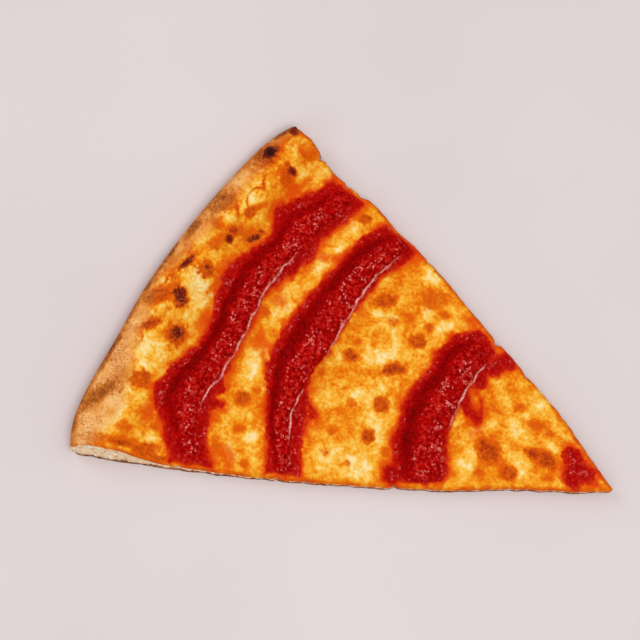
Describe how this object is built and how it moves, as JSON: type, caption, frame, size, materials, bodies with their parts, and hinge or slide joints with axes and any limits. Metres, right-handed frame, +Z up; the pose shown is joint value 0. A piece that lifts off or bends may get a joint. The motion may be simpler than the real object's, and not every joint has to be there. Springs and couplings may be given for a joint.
{
  "type": "cheese pizza slice",
  "caption": "Triangular slice of cheese pizza with a puffed baked rim, melted cheese and thick bands of tomato sauce laid on top, a food prop that lies flat.",
  "frame": {"origin": "middle of the bounding box, on the surface the slice lies on", "axes": "+X from the rim towards the tip along the middle of the slice, +Z up, +Y towards the shorter of the two cuts"},
  "size_m": [0.2304, 0.1776, 0.0163],
  "materials": {
    "baked_dough": "golden baked wheat dough, floury and scorched in spots at the rim, open crumb at the cuts",
    "melted_cheese": "melted cheese baked golden orange with brown blisters, oily sheen",
    "tomato_sauce": "thick cooked tomato sauce, deep red, grainy and wet"
  },
  "bodies": {
    "root": {"dough": "baked_dough", "cheese": "melted_cheese", "sauce_band_outer": "tomato_sauce", "sauce_band_middle": "tomato_sauce", "sauce_band_inner": "tomato_sauce", "sauce_dab_tip": "tomato_sauce"}
  },
  "joints": []
}
